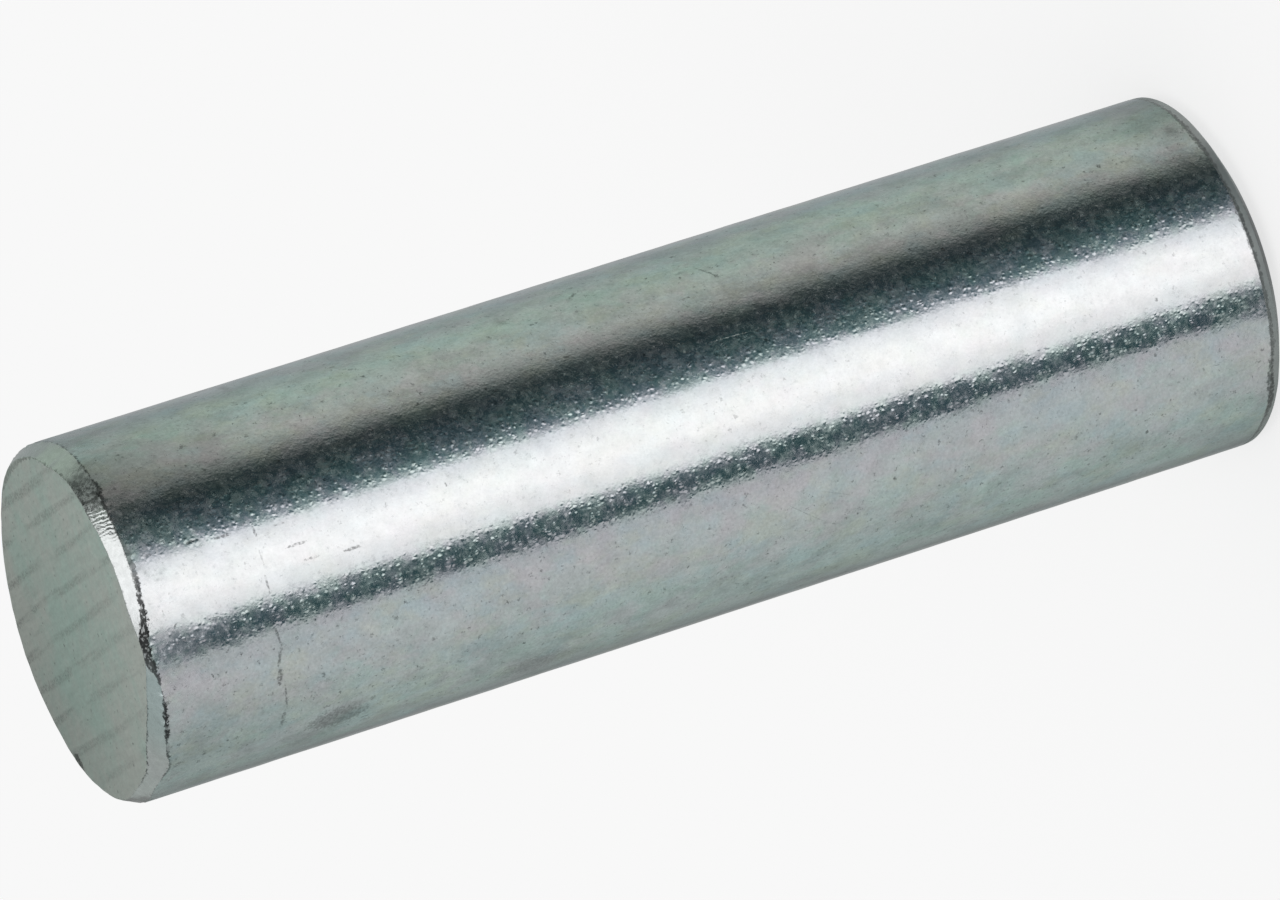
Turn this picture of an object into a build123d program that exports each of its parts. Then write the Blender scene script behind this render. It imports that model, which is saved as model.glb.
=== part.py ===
from build123d import *
import os

# Locking pin: a plain round bar, cut to length, bevelled at both ends and zinc plated.
# It stands on its turned end. Z runs up the middle of the bar, and the origin is the centre of the
# turned end's face. All sizes are in millimetres.

# The bar
pin_diameter = 16.0
pin_length = 55.0

# Turned end, at the bottom: an even bevel with a crisp shoulder where it meets the barrel
turned_bevel_height = 0.66      # along the bar
turned_bevel_width = 1.2        # across the bar
turned_shoulder_radius = 0.12   # between barrel and bevel
turned_rim_radius = 0.15        # between bevel and end face

# Sawn end, at the top: a bevel dressed by hand, so it is uneven round the rim. On two opposite
# sides it is tall and narrow, and between them it is low and wide.
tall_side_height = 0.9          # along the bar, where the bevel is tall
tall_side_width = 0.46          # across the bar, at the same place
low_side_height = 0.4           # along the bar, where the bevel is low
low_side_width = 0.86           # across the bar, at the same place
tall_side_direction = -28.0     # degrees from +X towards +Y, to the middle of a tall side

# How far the waste that the dressing takes off reaches past the bar. It leaves no mark on the pin.
waste_overrun = 0.25

pin_radius = pin_diameter / 2


def turned_bar():
    """The bar with its turned end: half of its outline, revolved about Z."""
    outline = FilletPolyline(
        (0, 0),
        (pin_radius - turned_bevel_width, 0),
        (pin_radius, turned_bevel_height),
        (pin_radius, pin_length),
        (0, pin_length),
        radius=(0, turned_rim_radius, turned_shoulder_radius, 0, 0),
        close=True,
    )
    return revolve(Plane.XZ * make_face(outline), Axis.Z)


def dressing_waste():
    """What the hand-dressed bevel takes off: a ring whose inner wall is a ruled surface.

    The wall runs between two ellipses that share their axes. The upper one is the outline left on the
    end face. The lower one lies outside the bar, where the bevel's slopes reach it on each side.
    """
    height = tall_side_height + waste_overrun
    upper_long = pin_radius - tall_side_width
    upper_short = pin_radius - low_side_width
    lower_tall_side = upper_long + tall_side_width * height / tall_side_height
    lower_low_side = upper_short + low_side_width * height / low_side_height

    face_plane = Plane(origin=(0, 0, pin_length)).rotated((0, 0, tall_side_direction))
    foot_plane = face_plane.offset(-height)
    upper = face_plane * Ellipse(upper_long, upper_short)
    lower = foot_plane * Ellipse(lower_tall_side, lower_low_side)

    blank_radius = max(lower_tall_side, lower_low_side) + waste_overrun
    blank = foot_plane * Cylinder(blank_radius, height, align=(Align.CENTER, Align.CENTER, Align.MIN))
    return blank - loft([lower, upper], ruled=True)


os.makedirs("parts", exist_ok=True)
locking_pin = turned_bar() - dressing_waste()
locking_pin.label = "locking_pin"
export_step(locking_pin, "parts/locking_pin.step")
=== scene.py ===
"""The finished look of a zinc plated locking pin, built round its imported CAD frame.

The pin is one solid bar that stands on its turned end. This script models the bar again in full detail,
with its bevels and saw marks, dresses it in zinc plate and sets it in a plain pale studio. The finest
roughness, such as the file's chatter and the plate's skin, is only in the finishes.
Lengths are in metres unless a name ends in _mm, and angles are in degrees unless a name ends in _rad.
"""

import logging
import math
from collections.abc import Callable, Sequence
from dataclasses import dataclass, field
from enum import Enum

import bmesh
import bpy
import numpy as np
from mathutils import Matrix, Vector


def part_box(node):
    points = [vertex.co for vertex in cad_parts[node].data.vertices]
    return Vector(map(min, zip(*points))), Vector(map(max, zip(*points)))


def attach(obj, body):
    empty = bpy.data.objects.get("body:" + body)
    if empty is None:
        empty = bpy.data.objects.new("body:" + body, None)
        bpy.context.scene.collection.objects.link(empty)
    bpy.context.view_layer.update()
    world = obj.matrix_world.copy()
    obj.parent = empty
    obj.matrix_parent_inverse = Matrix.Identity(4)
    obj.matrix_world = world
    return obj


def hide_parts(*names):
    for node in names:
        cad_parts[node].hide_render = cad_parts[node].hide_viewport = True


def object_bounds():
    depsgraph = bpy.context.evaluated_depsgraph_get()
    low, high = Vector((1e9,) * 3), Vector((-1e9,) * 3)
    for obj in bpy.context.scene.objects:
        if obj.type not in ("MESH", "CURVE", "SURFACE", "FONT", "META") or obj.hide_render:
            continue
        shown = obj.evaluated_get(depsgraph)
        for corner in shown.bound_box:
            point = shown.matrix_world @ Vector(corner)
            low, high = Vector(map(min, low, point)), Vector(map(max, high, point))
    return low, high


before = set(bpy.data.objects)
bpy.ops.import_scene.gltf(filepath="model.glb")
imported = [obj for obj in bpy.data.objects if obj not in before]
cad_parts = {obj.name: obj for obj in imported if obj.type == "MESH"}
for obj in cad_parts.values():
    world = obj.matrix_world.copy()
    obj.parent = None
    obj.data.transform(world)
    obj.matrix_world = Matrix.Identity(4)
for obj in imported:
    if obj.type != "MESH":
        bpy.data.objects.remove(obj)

CAD_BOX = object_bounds()
NODE = "locking_pin"
BODY = "root"
MM = 0.001
TOUCH = 0.001 * MM
RADIUS = CAD_BOX[1].x
DEGREE_MM = math.radians((CAD_BOX[1].x - CAD_BOX[0].x) / 2 / MM)
HALF_TURN = 180.0
GAPS = ("foot_gap", "rim_gap", "shoulder_gap")

Colour = tuple[float, float, float]
Source = "Value | bpy.types.NodeSocket | float | Sequence[float]"
Stops = tuple[tuple[float, float], ...]
TintStops = tuple[tuple[float, Colour], ...]
Weights = Callable[[np.ndarray], np.ndarray]

WHITE: Colour = (1.0, 1.0, 1.0)

log = logging.getLogger("locking_pin")


class Side(Enum):
    """The directions in which a relief moves the surface."""

    UP_THE_PIN = "Z"
    OUT_OF_SURFACE = "NORMAL"


class Area(Enum):
    """The areas of the bar, each with a finish of its own."""

    BARREL = "barrel"
    DRESSED_BEVEL = "dressed_bevel"
    SAWN_FACE = "sawn_face"
    TURNED_END = "turned_end"


# ---------------------------------------------------------------------------------------------------
# Node trees
# ---------------------------------------------------------------------------------------------------


class Value:
    """What a node gives, as a term in a sum. Each sum adds a Math node to the same tree."""

    def __init__(self, wiring: "Wiring", socket: bpy.types.NodeSocket) -> None:
        """Wraps an output.

        Args:
            wiring: the tree that the output is in.
            socket: the output.
        """
        self.wiring = wiring
        self.socket = socket

    def __add__(self, other: Source) -> "Value":
        """Adds something to this."""
        return self.wiring.math("ADD", self, other)

    def __sub__(self, other: Source) -> "Value":
        """Takes something from this."""
        return self.wiring.math("SUBTRACT", self, other)

    def __rsub__(self, other: float) -> "Value":
        """Takes this from a plain number."""
        return self.wiring.math("SUBTRACT", other, self)

    def __mul__(self, other: Source) -> "Value":
        """Multiplies this by something."""
        return self.wiring.math("MULTIPLY", self, other)

    def __truediv__(self, other: Source) -> "Value":
        """Divides this by something."""
        return self.wiring.math("DIVIDE", self, other)


class Wiring:
    """A short hand for building the nodes of a material, a node group or the world."""

    def __init__(self, tree: bpy.types.NodeTree) -> None:
        """Starts from an empty tree.

        Args:
            tree: the node tree to fill.
        """
        self.tree = tree
        tree.nodes.clear()

    def node(
        self, kind: str, inputs: dict[str | int, Source] | None = None, **settings: object
    ) -> bpy.types.Node:
        """Adds a node and feeds it.

        Args:
            kind: the node's type, without its ShaderNode prefix.
            inputs: what each input takes, by the input's name or number.
            settings: the node's own properties.

        Returns:
            The new node.
        """
        made = self.tree.nodes.new("ShaderNode" + kind)
        for name, value in settings.items():
            setattr(made, name, value)
        for name, value in (inputs or {}).items():
            self.feed(made.inputs[name], value)
        return made

    def take(
        self, kind: str, inputs: dict[str | int, Source], output: str | int = 0, **settings: object
    ) -> Value:
        """Adds a node, as node() does, and takes the output that has a name or number."""
        return Value(self, self.node(kind, inputs, **settings).outputs[output])

    def parts(self, kind: str, whole: Source) -> list[Value]:
        """Adds a node that splits a colour or a vector, and takes all its outputs."""
        return [Value(self, output) for output in self.node(kind, {0: whole}).outputs]

    def feed(self, socket: bpy.types.NodeSocket, value: Source) -> None:
        """Links a socket to an input, or sets the input to a plain value.

        Args:
            socket: the input to feed.
            value: a value, a socket, a number, a vector or a colour.
        """
        given = value.socket if isinstance(value, Value) else value
        if isinstance(given, bpy.types.NodeSocket):
            self.tree.links.new(given, socket)
        elif socket.type == "RGBA" and len(given) == 3:
            socket.default_value = (*given, 1.0)
        else:
            socket.default_value = given

    def math(self, operation: str, *values: Source, clamp: bool = False) -> Value:
        """Adds a Math node.

        Args:
            operation: the name of its operation.
            values: its one, two or three inputs.
            clamp: whether the result is held between 0 and 1.

        Returns:
            The result.
        """
        return self.take("Math", dict(enumerate(values)), operation=operation, use_clamp=clamp)

    def most(self, first: Source, *others: Source) -> Value:
        """Finds the largest of several values."""
        for other in others:
            first = self.math("MAXIMUM", first, other)
        return first

    def step(self, value: Source, low: float, high: float) -> Value:
        """Turns a value into a smooth step from 0 at low to 1 at high, in either order of the two."""
        start, end, first, last = (low, high, 0.0, 1.0) if low < high else (high, low, 1.0, 0.0)
        inputs = {"Value": value, "From Min": start, "From Max": end, "To Min": first, "To Max": last}
        return self.take("MapRange", inputs, interpolation_type="SMOOTHSTEP")

    def mix(self, share: Source, first: Source, second: Source, blend: str = "MIX") -> Value:
        """Mixes two colours.

        Args:
            share: how much of the second colour there is, from 0 to 1.
            first: the first colour.
            second: the second colour.
            blend: the name of the blend mode.

        Returns:
            The mixed colour.
        """
        made = self.node("Mix", data_type="RGBA", blend_type=blend)
        for name, value in (("Factor_Float", share), ("A_Color", first), ("B_Color", second)):
            self.feed(next(i for i in made.inputs if i.identifier == name), value)
        return Value(self, next(o for o in made.outputs if o.identifier == "Result_Color"))

    def heading(self, spot: Sequence[Value]) -> Value:
        """Finds the direction of a spot round the pin, in degrees from the front."""
        left, front = spot[0] * -1.0, spot[1] * -1.0
        return self.math("DEGREES", self.math("ARCTAN2", left, front))

    def round_stops(self, angle: Value, stops: Stops | TintStops) -> Value:
        """Reads a share or a colour from a list of stops that goes once round the pin.

        Args:
            angle: the direction, in degrees from the front.
            stops: directions in order, each with its share or its colour.

        Returns:
            The share or the colour.
        """
        inputs = {"Value": angle, "From Min": -HALF_TURN, "From Max": HALF_TURN}
        made = self.node("ValToRGB", {"Fac": self.take("MapRange", inputs)})
        elements = made.color_ramp.elements
        while len(elements) > 1:
            elements.remove(elements[-1])
        for index, (place, given) in enumerate(stops):
            spot = (place + HALF_TURN) / (2 * HALF_TURN)
            element = elements[0] if index == 0 else elements.new(spot)
            element.position = spot
            colour = given if isinstance(given, tuple) else (given, given, given)
            element.color = (*colour, 1.0)
        return Value(self, made.outputs["Color"])


# ---------------------------------------------------------------------------------------------------
# The bar's shape
# ---------------------------------------------------------------------------------------------------


def out_of(points: np.ndarray) -> np.ndarray:
    """How far points are from the pin's axis."""
    return np.hypot(points[:, 0], points[:, 1])


def bell(value: np.ndarray, middle: float, reach: float) -> np.ndarray:
    """A smooth bump of height 1 about a middle, which fades out over a reach."""
    return np.exp(-(((value - middle) / reach) ** 2))


def wobble(value: np.ndarray, waves: tuple[int, int], seed: int) -> np.ndarray:
    """An uneven wave, built from whole numbers of sine waves to the turn, so that it closes on itself.

    Args:
        value: where it is read, in degrees.
        waves: the fewest and the most waves to the turn.
        seed: picks the waves' phases.

    Returns:
        The wave, mostly between -1 and 1.
    """
    random = np.random.default_rng(seed)
    counts = random.integers(waves[0], waves[1], 12)
    phases = random.uniform(0, 2 * math.pi, 12)
    return sum(np.sin(n * np.radians(value) + p) for n, p in zip(counts, phases)) / 3.5


@dataclass(frozen=True)
class Bite:
    """A place where the file bit too deep, or where metal was left, if its depth is negative."""

    angle: float
    span: float
    depth: float


@dataclass(frozen=True)
class SawnEnd:
    """The bevel that was dressed by hand round the sawn face.

    It is tall and narrow on two opposite sides and low and wide between them, and near the front it all
    but runs out for a few degrees, where the rim was left standing.
    """

    tall_height: float = 0.90 * MM
    tall_width: float = 0.46 * MM
    low_height: float = 0.40 * MM
    low_width: float = 0.86 * MM
    tall_angle: float = -62.0
    foot_bites: tuple[Bite, ...] = (
        Bite(-80, 12, 0.10 * MM), Bite(-42, 4, 0.12 * MM), Bite(14, 9, -0.27 * MM), Bite(58, 6, 0.24 * MM),
        Bite(73, 8, -0.20 * MM),
    )
    rim_bites: tuple[Bite, ...] = (
        Bite(-108, 18, -0.22 * MM), Bite(-68, 5, 0.13 * MM), Bite(-51, 5, -0.08 * MM),
        Bite(-34, 5, 0.09 * MM), Bite(0, 6, 0.12 * MM), Bite(17, 9, -0.45 * MM), Bite(44, 8, 0.16 * MM),
        Bite(53, 5, 0.16 * MM), Bite(66, 7, -0.14 * MM), Bite(95, 14, -0.18 * MM), Bite(150, 15, 0.15 * MM),
    )
    tremor: float = 0.012 * MM

    def swing(self, angle: np.ndarray) -> np.ndarray:
        """How near a direction is to a tall side, from 1 at its middle to -1 between the two."""
        return np.cos(2 * np.radians(angle - self.tall_angle))

    def even_width(self, angle: np.ndarray) -> np.ndarray:
        """How far in the bevel reaches in each direction, apart from its bites."""
        swing = self.swing(angle)
        return (self.tall_width + self.low_width) / 2 + (self.tall_width - self.low_width) / 2 * swing

    def bitten(self, angle: np.ndarray, bites: tuple[Bite, ...], seed: int) -> np.ndarray:
        """How much the bites and the hand's tremor add in each direction.

        Args:
            angle: the direction round the pin, in degrees from the front.
            bites: the places where the edge departs from its even line.
            seed: picks the tremor.

        Returns:
            What they add, in metres.
        """
        turned = (angle + 180) % 360 - 180
        extra = self.tremor * wobble(angle, (9, 60), seed)
        for bite in bites:
            extra = extra + bite.depth * bell(turned, bite.angle, bite.span)
        return extra

    def width(self, angle: np.ndarray) -> np.ndarray:
        """How far in from the barrel the sawn face starts, in each direction."""
        return self.even_width(angle) + self.bitten(angle, self.rim_bites, 21)

    def height(self, angle: np.ndarray) -> np.ndarray:
        """How far below the sawn face the bevel starts, in each direction."""
        tall_slope = self.tall_width / self.tall_height
        low_slope = self.low_width / self.low_height
        slope = (tall_slope + low_slope) / 2 + (tall_slope - low_slope) / 2 * self.swing(angle)
        return self.even_width(angle) / slope + self.bitten(angle, self.foot_bites, 22)


@dataclass(frozen=True)
class TurnedEnd:
    """The even bevel of the turned end, on which the pin stands."""

    height: float = 0.66 * MM
    width: float = 1.20 * MM
    shoulder_offset: float = 0.07 * MM
    rim_offset: float = 0.08 * MM
    worn_height: float = 1.08 * MM
    worn_depth: float = 0.015 * MM
    worn_cuts: int = 5


@dataclass(frozen=True)
class SawMarks:
    """The grooves that the saw left across the sawn face."""

    spacing: float = 1.57 * MM
    first: float = -7.8 * MM
    unevenness: float = 0.06 * MM
    narrow: float = 0.10 * MM
    wide: float = 0.28 * MM
    bend: float = 0.10 * MM
    turn: float = -6.0
    seed: int = 4

    def weights(self, points: np.ndarray, radius: float) -> np.ndarray:
        """How deep the grooves are at points on the face.

        Args:
            points: places in metres, one to a row.
            radius: the bar's radius.

        Returns:
            The depth at each point, from 0 to 1.
        """
        random = np.random.default_rng(self.seed)
        turn_rad = math.radians(self.turn)
        across = points[:, 0] * math.cos(turn_rad) - points[:, 1] * math.sin(turn_rad)
        along = points[:, 0] * math.sin(turn_rad) + points[:, 1] * math.cos(turn_rad)
        depth = np.zeros(len(points))
        for middle in np.arange(self.first, radius, self.spacing):
            place = middle + random.uniform(-self.unevenness, self.unevenness)
            width = random.uniform(self.narrow, self.wide)
            sway = self.bend * np.sin(along / radius * random.uniform(1, 3) + random.uniform(0, 6))
            strength = random.uniform(0.4, 1.0)
            strength = strength * (0.6 + 0.4 * np.sin(along / radius * 2 + random.uniform(0, 6)))
            depth = np.maximum(depth, strength * bell(across - sway, place, width))
        return depth


@dataclass(frozen=True)
class Relief:
    """One way in which the surface departs from its plain form.

    The weights say how much of the reach each point moves, from 0 to 1.
    """

    name: str
    side: Side
    reach: float
    weights: Weights


@dataclass
class Bar:
    """The pin's bar: its sizes, and the steps that model it."""

    radius: float
    length: float
    turned: TurnedEnd = field(default_factory=TurnedEnd)
    sawn: SawnEnd = field(default_factory=SawnEnd)
    saw_marks: SawMarks = field(default_factory=SawMarks)
    segments: int = 400
    fine_length: float = 4.5 * MM
    edge_round: float = 0.02 * MM
    turned_cuts: int = 4
    barrel_cuts: int = 88
    fine_cuts: int = 36
    bevel_cuts: int = 9
    ragged_depth: float = 0.03 * MM
    groove_depth: float = 0.02 * MM
    wave_depth: float = 0.012 * MM
    ragged_below: float = 0.05 * MM
    ragged_reach: float = 0.16 * MM
    smooth_angle: float = 30.0
    bar: bpy.types.Object = field(init=False)

    def build(self, finishes: dict[Area, bpy.types.Material]) -> bpy.types.Object:
        """Models the bar's form and its relief.

        Args:
            finishes: the material of each area.

        Returns:
            The bar, in place and unscaled.
        """
        bpy.ops.object.select_all(action="DESELECT")
        bpy.ops.mesh.primitive_cylinder_add(
            vertices=self.segments, radius=self.radius, depth=self.length, location=(0, 0, self.length / 2)
        )
        self.bar = bpy.context.object
        self.bar.name = "pin_bar"
        bpy.ops.object.transform_apply(location=True, rotation=True, scale=True)
        bpy.ops.object.mode_set(mode="EDIT")
        self.turn_foot()
        self.dress_head()
        self.add_rows()
        self.grid_faces()
        self.finish_areas(finishes)
        bpy.ops.object.mode_set(mode="OBJECT")
        for relief in self.reliefs():
            self.press(relief)
        self.measure_edges()
        bpy.ops.object.shade_smooth_by_angle(angle=math.radians(self.smooth_angle))
        log.info("%s: %d faces", self.bar.name, len(self.bar.data.polygons))
        return self.bar

    def pick(self, mode: str, test: Callable[[object], bool]) -> int:
        """Selects what passes a test, and nothing else.

        Args:
            mode: VERT, EDGE or FACE.
            test: says whether a bmesh element is wanted.

        Returns:
            How many elements are selected.
        """
        bpy.ops.mesh.select_mode(type=mode)
        bpy.ops.mesh.select_all(action="DESELECT")
        shape = bmesh.from_edit_mesh(self.bar.data)
        elements = {"VERT": shape.verts, "EDGE": shape.edges, "FACE": shape.faces}[mode]
        chosen = [element for element in elements if test(element)]
        for element in chosen:
            element.select_set(True)
        shape.select_flush_mode()
        bmesh.update_edit_mesh(self.bar.data)
        return len(chosen)

    def pick_ring(self, height: float) -> int:
        """Selects the edges of a level ring.

        Args:
            height: the ring's place along the pin.

        Returns:
            How many edges are selected.
        """
        return self.pick("EDGE", lambda e: all(abs(v.co.z - height) < TOUCH for v in e.verts))

    def divide(self, test: Callable[[bmesh.types.BMEdge], bool], cuts: int) -> None:
        """Divides the edges that pass a test, and so adds rows to the faces between them.

        Args:
            test: says whether an edge is wanted.
            cuts: how many rows to add.
        """
        chosen = self.pick("EDGE", test)
        bpy.ops.mesh.subdivide(number_cuts=cuts)
        log.debug("%d edges divided by %d cuts", chosen, cuts)

    def turn_foot(self) -> None:
        """Cuts the turned end's bevel, and rounds its shoulder and rim."""
        self.pick("FACE", lambda f: f.normal.z < -0.9)
        bpy.ops.mesh.inset(thickness=self.turned.width, use_even_offset=True)
        self.pick("VERT", lambda v: v.co.z < TOUCH and v.co.xy.length > self.radius - TOUCH)
        bpy.ops.transform.translate(value=(0, 0, self.turned.height))
        self.pick_ring(self.turned.height)
        bpy.ops.mesh.bevel(offset=self.turned.shoulder_offset, segments=6, profile=0.5)
        self.pick_ring(0.0)
        bpy.ops.mesh.bevel(offset=self.turned.rim_offset, segments=3, profile=0.5)
        bpy.ops.mesh.select_all(action="SELECT")
        bpy.ops.mesh.bisect(plane_co=(0, 0, self.turned.worn_height), plane_no=(0, 0, 1))

    def dress_head(self) -> None:
        """Cuts the sawn end's bevel, with its uneven foot and rim."""
        top = self.length
        every_way = np.arange(-180, 180, 1)
        least_width = self.sawn.width(every_way).min() - TOUCH
        most_width = self.sawn.width(every_way).max() + TOUCH
        most_height = self.sawn.height(every_way).max() + TOUCH
        bpy.ops.mesh.select_all(action="SELECT")
        bpy.ops.mesh.bisect(plane_co=(0, 0, top - self.fine_length), plane_no=(0, 0, 1))
        self.pick("FACE", lambda f: f.normal.z > 0.9)
        bpy.ops.mesh.inset(thickness=least_width, use_even_offset=True)
        bpy.ops.object.mode_set(mode="OBJECT")
        points = self.points()
        angle = self.angles(points)
        on_top = points[:, 2] > top - TOUCH
        outer = out_of(points) > self.radius - TOUCH
        share = (self.sawn.width(angle) - least_width) / (most_width - least_width)
        cast = self.bar.modifiers.new("rim", "CAST")
        cast.cast_type = "CYLINDER"
        cast.factor = 1.0
        cast.use_z = False
        cast.use_radius_as_size = False
        cast.size = self.radius - most_width
        self.apply_guided(cast, share * (on_top & ~outer))
        lowered = self.sawn.height(angle) / most_height * (on_top & outer)
        self.press(Relief("foot", Side.UP_THE_PIN, -most_height, lambda points: lowered))
        bpy.ops.object.mode_set(mode="EDIT")

    def add_rows(self) -> None:
        """Divides the barrel and both bevels into rows, and rounds the sawn end's two edges."""

        def rise(edge: bmesh.types.BMEdge) -> float:
            """How far an edge climbs the pin."""
            return abs(edge.verts[0].co.z - edge.verts[1].co.z)

        def run(edge: bmesh.types.BMEdge) -> float:
            """How far an edge runs towards the axis."""
            return abs(edge.verts[0].co.xy.length - edge.verts[1].co.xy.length)

        def at_foot(edge: bmesh.types.BMEdge) -> bool:
            """Whether an edge lies between the barrel and the dressed bevel."""
            slopes = sorted(face.normal.z for face in edge.link_faces)
            return slopes[0] < 0.1 < slopes[-1] and edge.verts[0].co.z > middle

        def in_strip(edge: bmesh.types.BMEdge) -> bool:
            """Whether an edge climbs the worn strip above the turned end's shoulder."""
            ends = sorted(vertex.co.z for vertex in edge.verts)
            return ends[0] > self.turned.height + TOUCH and TOUCH < rise(edge) and ends[1] < strip_top

        middle = self.length / 2
        strip_top = self.turned.worn_height + TOUCH
        least_run = self.sawn.tall_width / 3
        self.divide(in_strip, self.turned.worn_cuts)
        self.divide(lambda e: rise(e) > middle, self.barrel_cuts)
        self.divide(lambda e: rise(e) > self.fine_length / 2, self.fine_cuts)
        self.divide(lambda e: run(e) > least_run and e.verts[0].co.z < middle, self.turned_cuts)
        self.divide(lambda e: run(e) > least_run and e.verts[0].co.z > middle, self.bevel_cuts)
        for wanted in (at_foot, lambda e: all(v.co.z > self.length - TOUCH for v in e.verts)):
            self.pick("EDGE", wanted)
            bpy.ops.mesh.bevel(offset=self.edge_round, segments=2, profile=0.5)

    def grid_faces(self) -> None:
        """Puts an even grid in place of the single face at each end."""
        for height in (0.0, self.length):
            self.pick(
                "FACE", lambda f: len(f.verts) > 4 and abs(f.calc_center_median().z - height) < TOUCH
            )
            bpy.ops.mesh.delete(type="ONLY_FACE")
            self.pick("EDGE", lambda e: e.is_boundary)
            bpy.ops.mesh.fill_grid(span=self.segments // 4)
        bpy.ops.mesh.select_all(action="SELECT")
        bpy.ops.mesh.normals_make_consistent(inside=False)

    def area_of(self, face: bmesh.types.BMFace) -> Area:
        """Says which area a face of the plain form is in."""
        spot = face.calc_center_median()
        if spot.z > self.length - TOUCH:
            return Area.SAWN_FACE
        if spot.z > self.length / 2 and spot.xy.length < self.radius - self.edge_round / 2:
            return Area.DRESSED_BEVEL
        return Area.TURNED_END if spot.z < self.turned.worn_height else Area.BARREL

    def finish_areas(self, finishes: dict[Area, bpy.types.Material]) -> None:
        """Gives each area its material.

        Args:
            finishes: the material of each area.
        """
        for index, (area, material) in enumerate(finishes.items()):
            self.bar.data.materials.append(material)
            self.bar.active_material_index = index
            self.pick("FACE", lambda f: self.area_of(f) is area)
            bpy.ops.object.material_slot_assign()

    def reliefs(self) -> list[Relief]:
        """Lists what is pressed into the bar's form, in order."""
        return [
            Relief("ragged_foot", Side.OUT_OF_SURFACE, -self.ragged_depth, self.ragged_foot),
            Relief("worn_shoulder", Side.OUT_OF_SURFACE, -self.turned.worn_depth, self.worn_shoulder),
            Relief("saw_marks", Side.UP_THE_PIN, -self.groove_depth, self.saw_grooves),
            Relief("waves", Side.OUT_OF_SURFACE, -self.wave_depth, self.barrel_waves),
        ]

    def press(self, relief: Relief) -> None:
        """Moves the surface by one relief.

        Args:
            relief: what to press into it.
        """
        displace = self.bar.modifiers.new(relief.name, "DISPLACE")
        displace.direction = relief.side.value
        displace.mid_level = 0.0
        displace.strength = relief.reach
        self.apply_guided(displace, relief.weights(self.points()))

    def apply_guided(self, modifier: bpy.types.Modifier, weights: np.ndarray) -> None:
        """Applies a modifier that acts on each point by its weight.

        Args:
            modifier: the modifier to apply.
            weights: each point's weight, which is held between 0 and 1.
        """
        name = modifier.name
        group = self.bar.vertex_groups.new(name=name)
        held = np.clip(weights, 0, 1)
        for index in np.flatnonzero(held > 0):
            group.add([int(index)], float(held[index]), "REPLACE")
        modifier.vertex_group = name
        bpy.ops.object.modifier_apply(modifier=name)
        self.bar.vertex_groups.remove(self.bar.vertex_groups[name])

    def points(self) -> np.ndarray:
        """The bar's vertices as rows of a table."""
        places = np.empty(len(self.bar.data.vertices) * 3)
        self.bar.data.vertices.foreach_get("co", places)
        return places.reshape(-1, 3)

    def angles(self, points: np.ndarray) -> np.ndarray:
        """The direction of points round the pin, in degrees from the front, where the axis is zero."""
        return np.degrees(np.arctan2(-points[:, 0], -points[:, 1]))

    def ragged_foot(self, points: np.ndarray) -> np.ndarray:
        """How much the bevel's lower edge is broken down."""
        angle = self.angles(points)
        gap = (self.length - self.sawn.height(angle)) - points[:, 2]
        on_barrel = out_of(points) > self.radius - 0.3 * MM
        near = bell(gap, self.ragged_below, self.ragged_reach) * on_barrel
        return near * np.clip(0.5 + 0.6 * wobble(angle, (40, 150), 7), 0, 1)

    def worn_shoulder(self, points: np.ndarray) -> np.ndarray:
        """How much the turned end's shoulder is rolled down, from the worn strip's top to the bevel."""
        fall = (self.turned.worn_height - points[:, 2]) / (self.turned.worn_height - self.turned.height)
        out = out_of(points) - (self.radius - self.turned.width)
        return np.clip(fall, 0, 1) * np.clip(out / self.turned.width, 0, 1)

    def saw_grooves(self, points: np.ndarray) -> np.ndarray:
        """How deep the saw marks are, on the sawn face alone."""
        on_face = points[:, 2] > self.length - TOUCH
        return self.saw_marks.weights(points, self.radius) * on_face

    def barrel_waves(self, points: np.ndarray) -> np.ndarray:
        """The slow unevenness of the drawn and plated barrel."""
        angle = self.angles(points)
        rise = points[:, 2] / self.length * 360
        on_barrel = out_of(points) > self.radius - 0.2 * MM
        waves = wobble(angle + 8 * wobble(rise, (3, 11), 3), (8, 26), 5) * wobble(rise + angle, (4, 14), 9)
        return on_barrel * np.clip(0.5 + 0.5 * waves, 0, 1)

    def measure_edges(self) -> None:
        """Stores each point's distance from the edges that the finishes draw dark lines along.

        All are in millimetres. foot_gap is positive down the barrel, rim_gap is positive on the sawn face,
        and shoulder_gap is positive up the barrel from the turned end's worn strip.
        """
        points = self.points()
        angle = self.angles(points)
        out = out_of(points)
        below = self.length - points[:, 2]
        height = self.sawn.height(angle)
        width = self.sawn.width(angle)
        inset = self.radius - out
        foot_gap = np.where(below > height, below - height, -np.hypot(height - below, inset))
        rim_gap = np.where(inset > width, inset - width, -np.hypot(below, width - inset))
        shoulder_gap = points[:, 2] - self.turned.worn_height
        for name, values in zip(GAPS, (foot_gap, rim_gap, shoulder_gap)):
            layer = self.bar.data.attributes.new(name, "FLOAT", "POINT")
            layer.data.foreach_set("value", (values / MM).astype(np.float32))


# ---------------------------------------------------------------------------------------------------
# The finishes
# ---------------------------------------------------------------------------------------------------


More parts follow.
